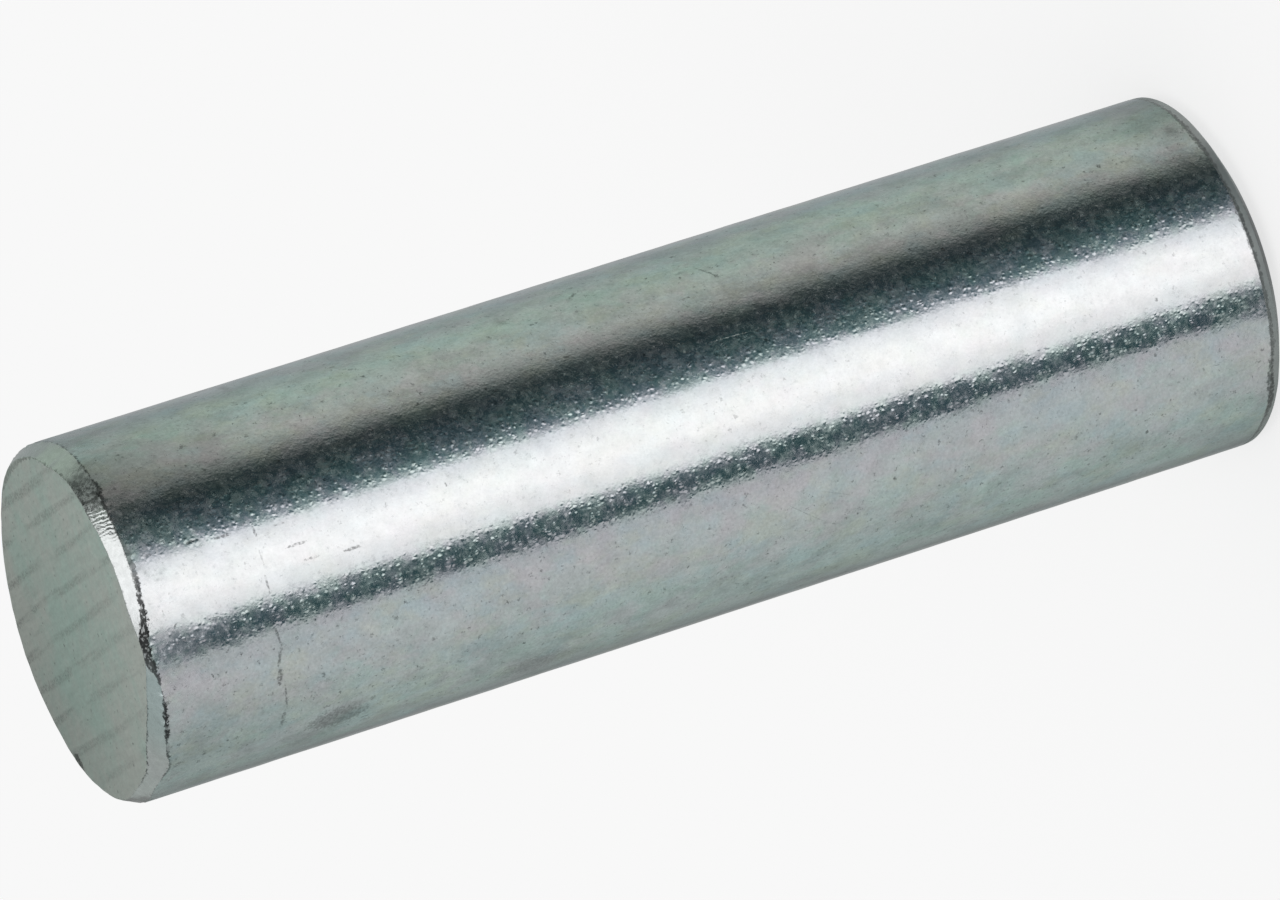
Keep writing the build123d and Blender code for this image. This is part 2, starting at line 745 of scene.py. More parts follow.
class Plate(Wiring):
    """The nodes of one of the pin's materials, with the place of the point on the bar."""

    def __init__(self, name: str) -> None:
        """Makes an empty material, and adds the nodes that find the place.

        Args:
            name: the material's name.
        """
        self.material = bpy.data.materials.new(name)
        self.material.use_nodes = True
        super().__init__(self.material.node_tree)
        self.where = self.take("TexCoord", {}, "Object")
        spot = self.parts("SeparateXYZ", self.where)
        self.right, self.back, height = spot
        self.angle = self.heading(spot)
        self.drop_mm = (CAD_BOX[1].z - height) / MM
        gaps = (self.take("Attribute", {}, "Fac", attribute_name=gap) for gap in GAPS)
        self.foot_gap_mm, self.rim_gap_mm, self.shoulder_gap_mm = gaps

    def side(self, stops: Stops | TintStops) -> Value:
        """Reads a share or a colour that depends on the side of the pin."""
        return self.round_stops(self.angle, stops)

    def sector(self, start: float, full: float, fade: float, end: float) -> Value:
        """Adds a share that rises from start to full, stays 1 to fade and is gone at end, in degrees."""
        return self.step(self.angle, start, full) - self.step(self.angle, fade, end)

    def noise(
        self, grain_mm: float, detail: float = 2.0, harshness: float = 0.5, where: Value | None = None
    ) -> Value:
        """Adds a Noise texture.

        Args:
            grain_mm: the size of its features.
            detail: how many finer octaves there are.
            harshness: how strong the finer octaves are, from 0 to 1.
            where: the coordinates, or the point's own place.

        Returns:
            The noise, about 0.5 on average.
        """
        inputs = {"Vector": where or self.where, "Scale": 1 / (grain_mm * MM)}
        return self.take("TexNoise", {**inputs, "Detail": detail, "Roughness": harshness}, "Fac")

    def stirred(self, grain_mm: float, reach_mm: float) -> Value:
        """Shifts the point's place unevenly, so that what is drawn there gets a ragged outline.

        Args:
            grain_mm: the size of the raggedness.
            reach_mm: how far it shifts the place.

        Returns:
            The new coordinates.
        """
        inputs = {"Vector": self.where, "Scale": 1 / (grain_mm * MM), "Detail": 2.0}
        colour = self.take("TexNoise", inputs, "Color")
        centred = self.take("VectorMath", {0: colour, 1: (0.5, 0.5, 0.5)}, operation="SUBTRACT")
        shift = self.take("VectorMath", {0: centred, "Scale": reach_mm * MM * 2}, operation="SCALE")
        return self.take("VectorMath", {0: self.where, 1: shift}, operation="ADD")

    def spots(
        self, spacing_mm: float, size_mm: float, share: float, edge: float, where: Value | None = None
    ) -> Value:
        """Scatters round spots of many sizes through space.

        Args:
            spacing_mm: how far apart their middles are.
            size_mm: the largest spot's radius.
            share: how many of the places have a spot, from 0 to 1.
            edge: how much of a spot's radius its soft edge takes.
            where: the coordinates, or the point's own place.

        Returns:
            A value that is 1 inside the spots.
        """
        spacing, size = spacing_mm * MM, size_mm * MM
        cells = self.node("TexVoronoi", {"Vector": where or self.where, "Scale": 1 / spacing})
        luck = self.parts("SeparateColor", cells.outputs["Color"])[0]
        inputs = {"Value": luck, "From Min": 1 - share, "To Min": 0.0, "To Max": size / spacing}
        inside = self.take("MapRange", inputs) - cells.outputs["Distance"]
        return self.math("MULTIPLY", inside, spacing / size / edge, clamp=True)

    def stretched(
        self, where: Value, scale: Sequence[float], turn: float = 0.0, shift: float = 0.0
    ) -> Value:
        """Scales coordinates unevenly, so that a pattern is drawn out along an axis.

        Args:
            where: the coordinates.
            scale: the scale along each axis.
            turn: a turn about Z before the scaling, in degrees.
            shift: an offset that gives another patch of the same pattern.

        Returns:
            The new coordinates.
        """
        if turn:
            inputs = {"Vector": where, "Angle": math.radians(turn)}
            where = self.take("VectorRotate", inputs, rotation_type="Z_AXIS")
        return self.take("Mapping", {"Vector": where, "Location": (shift, shift, shift), "Scale": scale})

    def finish(
        self,
        tint: Source,
        light: Value,
        roughness: Source,
        height: Value,
        metallic: Source = 1.0,
        height_unit: float = MM,
    ) -> bpy.types.Material:
        """Ends the material as a metal.

        Args:
            tint: the metal's colour.
            light: what its colour is multiplied by.
            roughness: its roughness.
            height: its relief.
            metallic: how far it is a clean metal, from 0 to 1.
            height_unit: the length that a height of 1 stands for.

        Returns:
            The material.
        """
        shade = self.take("CombineColor", {0: light, 1: light, 2: light})
        inputs = {
            "Base Color": self.mix(1.0, tint, shade, "MULTIPLY"),
            "Metallic": metallic,
            "Roughness": roughness,
            "Normal": self.take("Bump", {"Height": height, "Strength": 1.0, "Distance": height_unit}),
        }
        self.node("OutputMaterial", {"Surface": self.take("BsdfPrincipled", inputs)})
        return self.material


@dataclass(frozen=True)
class Mark:
    """One mark on the barrel: a smudge, a scratch or a pit. Its lean is its turn from square to the pin."""

    angle: float
    drop_mm: float
    length_mm: float
    width_mm: float
    depth: float
    lean: float = 0.0
    softness: float = 0.4


@dataclass(frozen=True)
class EdgeLine:
    """A dark line along an edge, drawn by the finishes on both sides of the edge. It is partly a crumbled
    edge and partly painted shade, which hides the glints that the rounded edge would catch.

    A stop has a direction, how far the line reaches before and after the edge there, in millimetres, and
    how dark it is there.
    """

    stops: tuple[tuple[float, float, float, float], ...]
    widest_mm: float = 0.8
    ragged_mm: float = 0.13
    soft_mm: float = 0.04
    fill: float = 0.5

    def darkness(self, plate: Plate, gap_mm: Value) -> Value:
        """Adds the line's darkness.

        Args:
            plate: the material's nodes.
            gap_mm: how far the point is past the edge.

        Returns:
            The darkness, from 0 to 1.
        """
        widest = self.widest_mm
        reaches = ((angle, first / widest, last / widest, dark) for angle, first, last, dark in self.stops)
        stops = tuple((angle, (first, last, dark)) for angle, first, last, dark in reaches)
        before, after, depth = plate.parts("SeparateColor", plate.side(stops))
        inside = plate.math("MINIMUM", before * widest + gap_mm, after * widest - gap_mm)
        inside = (plate.noise(0.22, 4.0, 0.75) - 0.5) * (5 * self.ragged_mm) + inside
        share = plate.math("DIVIDE", inside, self.soft_mm, clamp=True)
        pale = plate.step(plate.noise(0.17, 2.0, 0.6), 0.50, 0.64)
        return share * depth * (pale * -self.fill + 1.0)


# Dark lines along the edges: partly crumbled edges and partly painted shade over the glints of the rounded
# edges.
FOOT_LINE = EdgeLine(
    stops=(
        (-180, 0.02, 0.02, 0.4), (-80, 0.02, 0.02, 0.45), (-46, 0.06, 0.06, 0.6), (-40, 0.16, 0.12, 0.75),
        (-35, 0.12, 0.12, 0.75), (-30, 0.03, 0.05, 0.6), (-24, 0.03, 0.06, 0.4), (-17, 0.05, 0.24, 0.42),
        (-10, 0.10, 0.24, 0.55), (-6, 0.16, 0.14, 0.8), (0, 0.24, 0.12, 0.88), (5, 0.42, 0.12, 0.93),
        (12, 0.66, 0.12, 0.95), (16, 0.56, 0.16, 0.9), (20, 0.34, 0.16, 0.85), (23, 0.10, 0.14, 0.8),
        (27, 0.02, 0.05, 0.6), (32, 0.06, 0.10, 0.88), (36, 0.16, 0.20, 0.9), (40, 0.10, 0.12, 0.9),
        (44, 0.16, 0.20, 0.9), (47, 0.00, 0.04, 0.6), (52, 0.07, 0.16, 0.75), (56, 0.00, 0.08, 0.5),
        (61, 0.06, 0.14, 0.65), (66, 0.02, 0.03, 0.4), (180, 0.02, 0.02, 0.4),
    )
)
RIM_LINE = EdgeLine(
    stops=(
        (-180, 0.02, 0.02, 0.4), (-124, 0.02, 0.02, 0.4), (-110, 0.06, 0.32, 0.4), (-96, 0.02, 0.30, 0.35),
        (-84, 0.06, 0.06, 0.5), (-76, 0.03, 0.02, 0.45), (-52, 0.06, 0.04, 0.5), (-34, 0.06, 0.05, 0.6),
        (-26, 0.03, 0.02, 0.4), (8, 0.02, 0.01, 0.4), (28, 0.01, 0.01, 0.3), (36, 0.05, 0.04, 0.75),
        (62, 0.05, 0.05, 0.7), (72, 0.04, 0.05, 0.6), (80, 0.02, 0.02, 0.3), (126, 0.02, 0.02, 0.4),
        (129, 0.12, 0.40, 0.8), (133, 0.12, 0.46, 0.85), (136, 0.02, 0.04, 0.4), (180, 0.02, 0.02, 0.4),
    )
)
SHOULDER_LINE = EdgeLine(
    stops=(
        (-180, 0.10, 0.04, 0.4), (-80, 0.10, 0.02, 0.25), (-60, 0.12, 0.06, 0.45), (-42, 0.14, 0.16, 0.5),
        (-30, 0.12, 0.02, 0.4), (-16, 0.16, 0.08, 0.5), (-6, 0.14, 0.10, 0.55), (2, 0.16, 0.0, 0.45),
        (12, 0.18, 0.02, 0.45), (30, 0.22, 0.02, 0.4), (38, 0.10, 0.14, 0.6), (46, 0.22, 0.16, 0.65),
        (54, 0.30, 0.0, 0.6), (64, 0.16, 0.02, 0.35), (180, 0.10, 0.04, 0.4),
    ),
    ragged_mm=0.10,
)


@dataclass(frozen=True)
class PlateTints:
    """The faint tints of the plate, which differ from side to side and drift in patches."""

    sides: TintStops = (
        (-180, (0.57, 0.655, 0.625)), (-90, (0.56, 0.66, 0.635)), (-58, (0.555, 0.69, 0.615)),
        (-42, (0.61, 0.665, 0.625)), (-12, (0.643, 0.65, 0.655)), (10, (0.643, 0.645, 0.65)),
        (22, (0.60, 0.655, 0.67)), (34, (0.59, 0.65, 0.655)), (60, (0.555, 0.655, 0.645)),
        (180, (0.57, 0.655, 0.625)),
    )
    green: Colour = (0.93, 1.04, 0.98)
    straw: Colour = (1.04, 1.02, 0.92)
    mauve: Colour = (1.08, 0.97, 1.01)
    teal: Colour = (0.92, 1.01, 1.05)
    patch_mm: float = 1.6
    clean_side: tuple[float, float] = (-13.0, 14.0)
    clean_share: float = 0.3
    strength: float = 0.7
    blistered_sides: Stops = (
        (-180, 0.0), (-35, 0.0), (-30, 0.3), (-24, 0.9), (-15, 1.0), (-11, 0.0), (7, 0.0), (12, 1.0),
        (18, 1.0), (22, 0.0), (180, 0.0),
    )
    blistered_tints: tuple[Colour, Colour] = ((0.92, 1.03, 0.97), (1.02, 0.99, 1.03))

    def clean(self, plate: Plate) -> Value:
        """Adds a share that is 1 on the side of the pin where the plate came out cleanest."""
        low, high = self.clean_side
        return plate.sector(low - 6, low, high, high + 6)

    def blistered(self, plate: Plate) -> Value:
        """Adds a share that is 1 on the two sides of the pin where the plate blistered most."""
        return plate.side(self.blistered_sides)

    def colour(self, plate: Plate) -> Value:
        """Adds the plate's colour."""
        strength = (self.clean(plate) * (self.clean_share - 1) + 1.0) * self.strength
        drawn = plate.stretched(plate.where, (1.0, 1.0, 0.7))
        factor: Source = (1.0, 1.0, 1.0)
        for index, tint in enumerate((self.green, self.teal, self.straw, self.mauve)):
            moved = plate.stretched(drawn, (1.0, 1.0, 1.0), shift=0.1 * (index + 1))
            patches = plate.step(plate.noise(self.patch_mm, 6.0, 0.62, moved), 0.46, 0.66)
            factor = plate.mix(patches * strength, factor, tint)
        mottle = plate.step(plate.noise(1.3, 4.0, 0.6), 0.40, 0.60)
        factor = plate.mix(self.blistered(plate), factor, plate.mix(mottle, *self.blistered_tints))
        return plate.mix(1.0, plate.side(self.sides), factor, "MULTIPLY")


@dataclass(frozen=True)
class BarrelFinish:
    """Bright zinc plate on the barrel: small blisters, dark crumbs, pits, scratches and smudges."""

    name: str = "bright_zinc_plate"
    tints: PlateTints = field(default_factory=PlateTints)
    roughness: float = 0.10
    peel_mm: float = 0.0018
    waves_mm: float = 0.008
    bubbles_mm: float = 0.0095
    ripples_mm: float = 0.009
    # Painted shade near each end of the barrel: how far it reaches, and how strong it is on each side.
    sawn_end_shade_mm: float = 9.0
    turned_end_shade_mm: float = 5.0
    painted_shade_at_sawn_end: Stops = (
        (-180, 0.15), (-70, 0.18), (-60, 0.16), (-52, 0.36), (-38, 0.42), (-30, 0.10), (-24, 0.0),
        (28, 0.02), (40, 0.14), (56, 0.20), (66, 0.08), (180, 0.15),
    )
    painted_shade_at_turned_end: Stops = (
        (-180, 0.3), (-58, 0.34), (-48, 0.16), (-40, 0.06), (-30, 0.10), (-14, 0.20), (-8, 0.02), (8, 0.02),
        (14, 0.12), (22, 0.04), (60, 0.08), (70, 0.22), (180, 0.3),
    )
    stained_sides: Stops = (
        (-180, 0.16), (-44, 0.20), (-34, 0.14), (-28, 0.0), (18, 0.0), (26, 0.07), (44, 0.12), (60, 0.22),
        (180, 0.16),
    )
    rippled_sides: Stops = (
        (-180, 0.2), (-50, 0.3), (-40, 0.9), (-28, 1.0), (-22, 0.4), (-14, 0.1), (14, 0.1), (180, 0.2),
    )
    littered_sides: Stops = (
        (-180, 0.6), (-50, 0.9), (-40, 0.3), (-34, 0.0), (22, 0.0), (32, 0.4), (60, 0.7), (180, 0.6),
    )
    marks: tuple[Mark, ...] = (
        Mark(22, 5.95, 1.5, 0.14, 0.5, 10), Mark(29, 5.85, 1.3, 0.20, 0.55, -14),
        Mark(35, 5.80, 1.1, 0.28, 0.6, -8), Mark(43, 6.05, 1.7, 0.12, 0.5, 4),
        Mark(53, 5.95, 1.4, 0.24, 0.5, -6), Mark(-11, 6.2, 0.8, 0.14, 0.6), Mark(-3, 6.1, 0.8, 0.10, 0.35),
        Mark(5, 6.0, 0.9, 0.14, 0.55), Mark(27.5, 2.75, 0.30, 0.10, 0.6, 20),
        Mark(28, 3.0, 0.26, 0.10, 0.6, 20), Mark(8.5, 1.6, 0.14, 0.30, 0.6, 30),
        Mark(38, 31, 2.8, 0.05, 0.30, 50), Mark(34, 32.5, 2.0, 0.05, 0.25, 65),
        Mark(57, 2.3, 0.5, 0.3, 0.5, softness=0.8), Mark(57, 0.66, 0.4, 0.3, 0.5, softness=0.8),
        Mark(-14, 3.4, 0.20, 0.9, 0.6, softness=0.5), Mark(-14, 1.4, 0.14, 0.5, 0.5),
        Mark(-12.7, 4.8, 0.16, 1.1, 0.6), Mark(-11, 7.4, 0.14, 0.6, 0.5), Mark(-3.5, 7.8, 0.14, 1.1, 0.55),
        Mark(1.8, 8.2, 0.14, 0.8, 0.5), Mark(2.8, 10.1, 0.18, 0.9, 0.6),
        Mark(-61.5, 24.7, 1.2, 0.30, 0.6, -50, softness=0.8), Mark(-52, 30.5, 1.6, 0.14, 0.5, 30),
        Mark(-44, 49.2, 0.30, 0.24, 0.6), Mark(42, 44.2, 0.24, 0.24, 0.6),
        Mark(49.5, 47.8, 0.30, 0.20, 0.6), Mark(-7, 15, 0.22, 0.16, 0.5), Mark(5, 48.9, 0.24, 0.20, 0.5),
        Mark(22, 48.3, 0.26, 0.18, 0.5), Mark(22.5, 39.7, 0.22, 0.26, 0.5), Mark(57, 10.3, 0.40, 0.30, 0.5),
    )
    smudges: tuple[Mark, ...] = (
        Mark(61.5, 8.7, 1.7, 3.2, 0.52, softness=0.4), Mark(57, 9.4, 0.8, 1.8, 0.3, softness=0.8),
        Mark(69, 7.8, 1.8, 3.6, 0.26, softness=0.8), Mark(69, 18.2, 2.2, 5.0, 0.42, softness=0.7),
        Mark(71, 31, 1.6, 5.0, 0.16, softness=0.8), Mark(-77, 9.0, 1.6, 0.6, 0.35, softness=0.8),
        Mark(-59.5, 21.1, 0.9, 0.7, 0.35, softness=0.9), Mark(-58, 52.4, 2.4, 1.6, 0.30, softness=1.0),
        Mark(-50, 53.2, 1.2, 0.8, 0.35, softness=0.8),
    )
    scratches: tuple[Mark, ...] = (
        Mark(-24.5, 29.6, 2.4, 0.07, 0.35, 88),
        Mark(-15.5, 51.85, 0.5, 0.09, 0.5, 8),
    )

    def build(self) -> bpy.types.Material:
        """Makes the material."""
        plate = Plate(self.name)
        foot, shoulder = plate.foot_gap_mm, plate.shoulder_gap_mm
        smudged = self.placed(plate, self.smudges, broken=0.35)
        pits = plate.most(self.crumbs(plate), self.placed(plate, self.marks), smudged)
        line = plate.most(FOOT_LINE.darkness(plate, foot), SHOULDER_LINE.darkness(plate, shoulder))
        grain = (plate.noise(0.14, 3.0, 0.7) - 0.5) * (self.tints.clean(plate) * -0.42 + 0.60)
        light = grain + plate.noise(1.0, 5.0, 0.65) * 0.36 + 0.82
        # Painted shade that darkens the plate near the sawn end and near the turned end.
        painted_end_shade = plate.most(
            self.painted_end_shade(plate, foot, self.sawn_end_shade_mm, self.painted_shade_at_sawn_end),
            self.painted_end_shade(plate, shoulder, self.turned_end_shade_mm, self.painted_shade_at_turned_end),
        )
        light = light * (1.0 - plate.most(pits, line)) * (1.0 - painted_end_shade) * self.stains(plate)
        uneven = plate.step(plate.noise(0.35, 4.0, 0.7), 0.40, 0.75)
        rough = uneven * 0.16 + (self.roughness - 0.03) + plate.spots(0.22, 0.12, 1.0, 0.7) * 0.15
        rough = rough + plate.step(foot, 4.0, 0.0) * 0.12 + plate.step(shoulder, 3.0, 0.0) * 0.05
        rough = rough + self.tints.blistered(plate) * 0.04 + line * 0.35
        clean_metal = 1.0 - self.haze(plate)
        return plate.finish(self.tints.colour(plate), light, rough, self.skin(plate), clean_metal)

    def painted_end_shade(self, plate: Plate, gap_mm: Value, reach_mm: float, sides: Stops) -> Value:
        """Adds painted shade, which darkens the plate near one end.

        Args:
            plate: the material's nodes.
            gap_mm: how far the point is from that end's edge.
            reach_mm: how far the painted shade reaches.
            sides: how strong it is on each side.

        Returns:
            The darkness, from 0 to 1.
        """
        return plate.step(gap_mm, reach_mm, -0.3) * plate.side(sides)

    def stains(self, plate: Plate) -> Value:
        """Adds a factor around 1 that drifts from clean to stained, on the sides that handling dulled."""
        drawn = plate.stretched(plate.where, (1.0, 1.0, 0.7), shift=0.7)
        stain = plate.step(plate.noise(1.3, 7.0, 0.72, drawn), 0.42, 0.66)
        return (0.42 - stain) * plate.side(self.stained_sides) + 1.0

    def haze(self, plate: Plate) -> Value:
        """Adds how far the plate is from a clean metal skin, in mottled patches and along its scratches."""
        mottle = plate.step(plate.noise(0.45, 4.0, 0.65), 0.42, 0.66)
        patches = mottle * (self.tints.blistered(plate) * 0.09)
        return plate.most(patches, self.placed(plate, self.scratches))

    def skin(self, plate: Plate) -> Value:
        """Adds the height of the plate's skin: a fine peel, round blisters, ripples and slow waves."""
        slow = plate.noise(0.10, 1.0) * self.peel_mm + plate.noise(1.4, 1.0) * self.waves_mm
        blisters = plate.step(plate.spots(0.20, 0.13, 2.0, 1.0), 0.0, 1.0)
        blisters = blisters * (self.tints.clean(plate) * -0.0014 + 0.0022)
        bubbled = plate.stirred(0.30, 0.07)
        bubbles = plate.step(plate.spots(0.23, 0.16, 1.7, 1.0, bubbled), 0.0, 1.0)
        domes = blisters + bubbles * self.tints.blistered(plate) * self.bubbles_mm
        ripples = plate.noise(0.40, 3.0, 0.6) * self.ripples_mm * plate.side(self.rippled_sides)
        return slow + (ripples + domes)

    def crumbs(self, plate: Plate) -> Value:
        """Adds the dark crumbs and pits that are strewn all over the plate, as a darkness from 0 to 1."""
        ragged = plate.stirred(0.10, 0.20)
        drawn = plate.stretched(ragged, (1.0, 1.0, 0.4))
        far_drawn = plate.stretched(ragged, (1.0, 1.0, 0.45), shift=0.3)
        large = plate.spots(0.46, 0.115, 0.9, 0.7, ragged)
        small = plate.spots(0.20, 0.065, 0.9, 0.8, ragged)
        long = plate.spots(0.46, 0.09, 0.7, 0.7, drawn)
        dashes = plate.spots(0.70, 0.13, 0.8, 0.6, far_drawn)
        blots = plate.step(plate.noise(0.38, 4.0, 0.7), 0.62, 0.74)
        clean = self.tints.clean(plate)
        thick = plate.step(plate.noise(1.4, 3.0, 0.6), 0.32, 0.54)
        near = plate.step(plate.foot_gap_mm, 24.0, 4.0) * 0.5 + 0.5
        littered = plate.side(self.littered_sides) * near
        thick = plate.most(thick, plate.step(plate.foot_gap_mm, 1.6, 0.1), littered) * (clean * -0.6 + 1.0)
        dark = plate.most(large * 0.65, blots * 0.45) * (clean * -0.5 + 1.0)
        for marks, share, strength in ((dashes, littered, 0.6), (small, thick, 0.8), (long, thick, 0.65)):
            dark = plate.most(dark, marks * (share * strength))
        return dark

    def placed(self, plate: Plate, marks: Sequence[Mark], broken: float = 0.8) -> Value:
        """Adds marks that each have a place of their own.

        Args:
            plate: the material's nodes.
            marks: the marks.
            broken: how far a fine noise breaks them up, from 0 to 1.

        Returns:
            How strong they are, from 0 to 1.
        """
        strongest: Source = 0.0
        crumble = plate.noise(0.12, 2.0, 0.7)
        kept = plate.step(plate.noise(0.15, 3.0, 0.7), 0.42, 0.56)
        for mark in marks:
            inputs = {
                "Angle": plate.angle,
                "Drop": plate.drop_mm,
                "Crumble": crumble,
                "At Angle": mark.angle,
                "At Drop": mark.drop_mm,
                "Half Length": mark.length_mm / 2,
                "Half Width": mark.width_mm / 2,
                "Lean": math.radians(mark.lean),
                "Softness": mark.softness,
                "Depth": mark.depth,
            }
            drawn = plate.take("Group", inputs, node_tree=mark_group(tuple(inputs)))
            strongest = plate.most(strongest, drawn)
        return strongest * (kept * broken + (1 - broken))


def mark_group(names: Sequence[str]) -> bpy.types.NodeTree:
    """Makes the node group that draws one mark on the barrel, unless it is there already.

    Args:
        names: what its inputs are called, in order.

    Returns:
        The group, whose output is the mark's darkness.
    """
    made = bpy.data.node_groups.get("plate_mark")
    if made:
        return made
    group = bpy.data.node_groups.new("plate_mark", "ShaderNodeTree")
    wiring = Wiring(group)
    for name in names:
        group.interface.new_socket(name, in_out="INPUT", socket_type="NodeSocketFloat")
    group.interface.new_socket("Darkness", in_out="OUTPUT", socket_type="NodeSocketFloat")
    given = [Value(wiring, output) for output in group.nodes.new("NodeGroupInput").outputs[: len(names)]]
    angle, drop, crumble, at_angle, at_drop, half_length, half_width, lean, softness, depth = given
    round_the_bar = (angle - at_angle) * DEGREE_MM
    along_the_bar = drop - at_drop
    cosine = wiring.math("COSINE", lean)
    sine = wiring.math("SINE", lean)
    length = round_the_bar * cosine + along_the_bar * sine
    width = along_the_bar * cosine - round_the_bar * sine
    far = wiring.math("POWER", length / half_length, 2.0) + wiring.math("POWER", width / half_width, 2.0)
    reach = wiring.math("SQRT", far) + crumble * 1.4
    share = wiring.math("DIVIDE", 1.7 - reach, softness, clamp=True)
    wiring.feed(group.nodes.new("NodeGroupOutput").inputs[0], share * depth)
    return group


@dataclass(frozen=True)
class BevelFinish:
    """The dressed bevel: smooth where the file slid, torn where it dragged, chattered where it jumped."""

    name: str = "dressed_bevel_plate"
    # Colours by side: partly the plate's tint and partly painted shade, which sets how light the bevel
    # looks on each side.
    sides: TintStops = (
        (-180, (0.58, 0.65, 0.60)), (-60, (0.58, 0.66, 0.60)), (-36, (0.56, 0.59, 0.57)),
        (-20, (0.56, 0.57, 0.56)), (12, (0.57, 0.58, 0.58)), (24, (0.47, 0.53, 0.53)),
        (44, (0.46, 0.51, 0.505)), (56, (0.49, 0.50, 0.487)), (180, (0.52, 0.54, 0.52)),
    )
    roughness: float = 0.20
    torn_side: tuple[float, float] = (-62.0, -38.0)
    torn_depth_mm: float = 0.012
    chatter_side: tuple[float, float] = (-40.0, -26.0)
    chatter_pitch_mm: float = 0.21
    chatter_slant: float = -2.0
    chatter_height_mm: float = 0.007
    grain_height_mm: float = 0.006

    def build(self) -> bpy.types.Material:
        """Makes the material."""
        plate = Plate(self.name)
        low, high = self.torn_side
        torn = plate.sector(low, low + 26, high, high + 5)
        clots = torn * plate.step(plate.noise(0.26, 4.0, 0.75), 0.36, 0.58)
        foot = FOOT_LINE.darkness(plate, plate.foot_gap_mm)
        rim = RIM_LINE.darkness(plate, plate.rim_gap_mm)
        light = (plate.noise(0.3, 4.0, 0.7) * 0.5 + 0.75) * (clots * -0.72 + 1.0)
        light = light * (1.0 - plate.most(foot, rim))
        rough = plate.most(torn, foot) * 0.25 + self.roughness
        height = clots * -self.torn_depth_mm + self.chatter(plate)
        return plate.finish(plate.side(self.sides), light, rough, height)

    def chatter(self, plate: Plate) -> Value:
        """Adds the height in millimetres of the chatter marks, which the file left across the bevel."""
        per_degree = 2 * math.pi * DEGREE_MM / self.chatter_pitch_mm
        slanted = plate.foot_gap_mm * self.chatter_slant + plate.angle
        ridges = plate.math("SINE", slanted * per_degree + plate.noise(0.5, 3.0, 0.6) * 17.0)
        ridges = ridges * plate.step(plate.noise(0.40, 2.0), 0.30, 0.62)
        low, high = self.chatter_side
        strong = plate.sector(low, low + 5, high - 3, high + 3) * 0.75
        strong = plate.sector(low, low + 5, high, high + 16) * 0.3 + strong
        grain = plate.noise(0.10, 3.0, 0.6) * self.grain_height_mm
        return ridges * (strong * self.chatter_height_mm) + grain


@dataclass(frozen=True)
class SawnFaceFinish:
    """The sawn face: a satin skin in two drifting tints, streaked and specked along the saw's marks."""

    name: str = "sawn_face_plate"
    green: Colour = (0.410, 0.508, 0.466)
    pink: Colour = (0.488, 0.498, 0.470)
    roughness: float = 0.42
    turn: float = -6.0
    spacing: float = 1.57 * MM
    middle_line: float = 0.05 * MM
    far_shade: float = 0.34
    dark_depth_mm: float = 0.02
    line_height_mm: float = 0.003

    def build(self) -> bpy.types.Material:
        """Makes the material."""
        plate = Plate(self.name)
        far = self.far(plate)
        ragged = plate.stirred(0.16, 0.10)
        along = plate.stretched(ragged, (1.0, 0.16, 1.0), self.turn)
        grain = plate.noise(0.12, 3.0, 0.75)
        lines = self.lines(plate, along)
        streaks = self.streaks(plate, along, lines, grain) * ((far * 0.38 + 0.28) * self.deep(plate))
        specks = plate.spots(0.30, 0.09, 0.8, 0.6, ragged) * 0.45
        dark = plate.most(streaks, specks, RIM_LINE.darkness(plate, plate.rim_gap_mm))
        light = plate.noise(0.35, 5.0, 0.7) * 0.46 + 0.62
        light = plate.noise(0.16, 4.0, 0.7, along) * 0.40 + light
        # Painted shade: the face is darker towards the back left.
        light = (grain * 0.30 + light) * (1.0 - dark) * (far * -self.far_shade + 1.0)
        drift = plate.step(plate.rim_gap_mm, 4.0, 0.0) * 0.16 + plate.noise(3.6, 7.0, 0.66)
        tint = plate.mix(plate.step(drift, 0.38, 0.72), self.green, self.pink)
        height = dark * -self.dark_depth_mm + lines * self.line_height_mm
        return plate.finish(tint, light, self.roughness, height)

    def lines(self, plate: Plate, along: Value) -> Value:
        """Adds the evenly set lines of the saw, swaying a little. They are highest along the deepest marks.

        Args:
            plate: the material's nodes.
            along: places on the face, drawn out along the saw's marks.

        Returns:
            The lines, from -1 to 1.
        """
        turns = 2 * math.pi / self.spacing
        start = math.pi / 2 - turns * self.middle_line
        sway = plate.noise(1.6, 1.0, where=along) * 2.4 + (start - 1.2)
        return plate.math("SINE", plate.parts("SeparateXYZ", along)[0] * turns + sway)

    def streaks(self, plate: Plate, along: Value, lines: Value, grain: Value) -> Value:
        """Adds the dark streaks: the lines, fainter ones halfway between, and loose drags, all broken up.

        Args:
            plate: the material's nodes.
            along: places on the face, drawn out along the saw's marks.
            lines: the saw's lines.
            grain: a fine noise.

        Returns:
            The streaks, from 0 to 1.
        """
        between = plate.step(lines * -1.0, 0.86, 0.995)
        drawn = between * 0.12 + plate.step(lines, 0.52, 0.99)
        drawn = drawn * plate.step(plate.noise(0.8, 2.0, 0.6, along), 0.34, 0.52)
        drags = plate.step(plate.noise(0.42, 4.0, 0.7, along), 0.52, 0.70) * 0.45
        return plate.most(drawn, drags) * (plate.step(grain, 0.42, 0.58) * 0.85 + 0.15)

    def deep(self, plate: Plate) -> Value:
        """Adds a share that is 1 on the right, where the saw cut deepest, and less to the left."""
        return plate.math("MULTIPLY_ADD", plate.right, 0.35 / RADIUS, 0.80, clamp=True)

    def far(self, plate: Plate) -> Value:
        """Adds how near a point is to the back left of the face, where the face is darkened as painted
        shade.
        """
        back = plate.math("MULTIPLY_ADD", plate.back, 0.62 / RADIUS, 0.5, clamp=True)
        right = plate.math("MULTIPLY_ADD", plate.right, 0.8 / RADIUS, 0.5, clamp=True)
        return back * (right * -0.55 + 1.0)


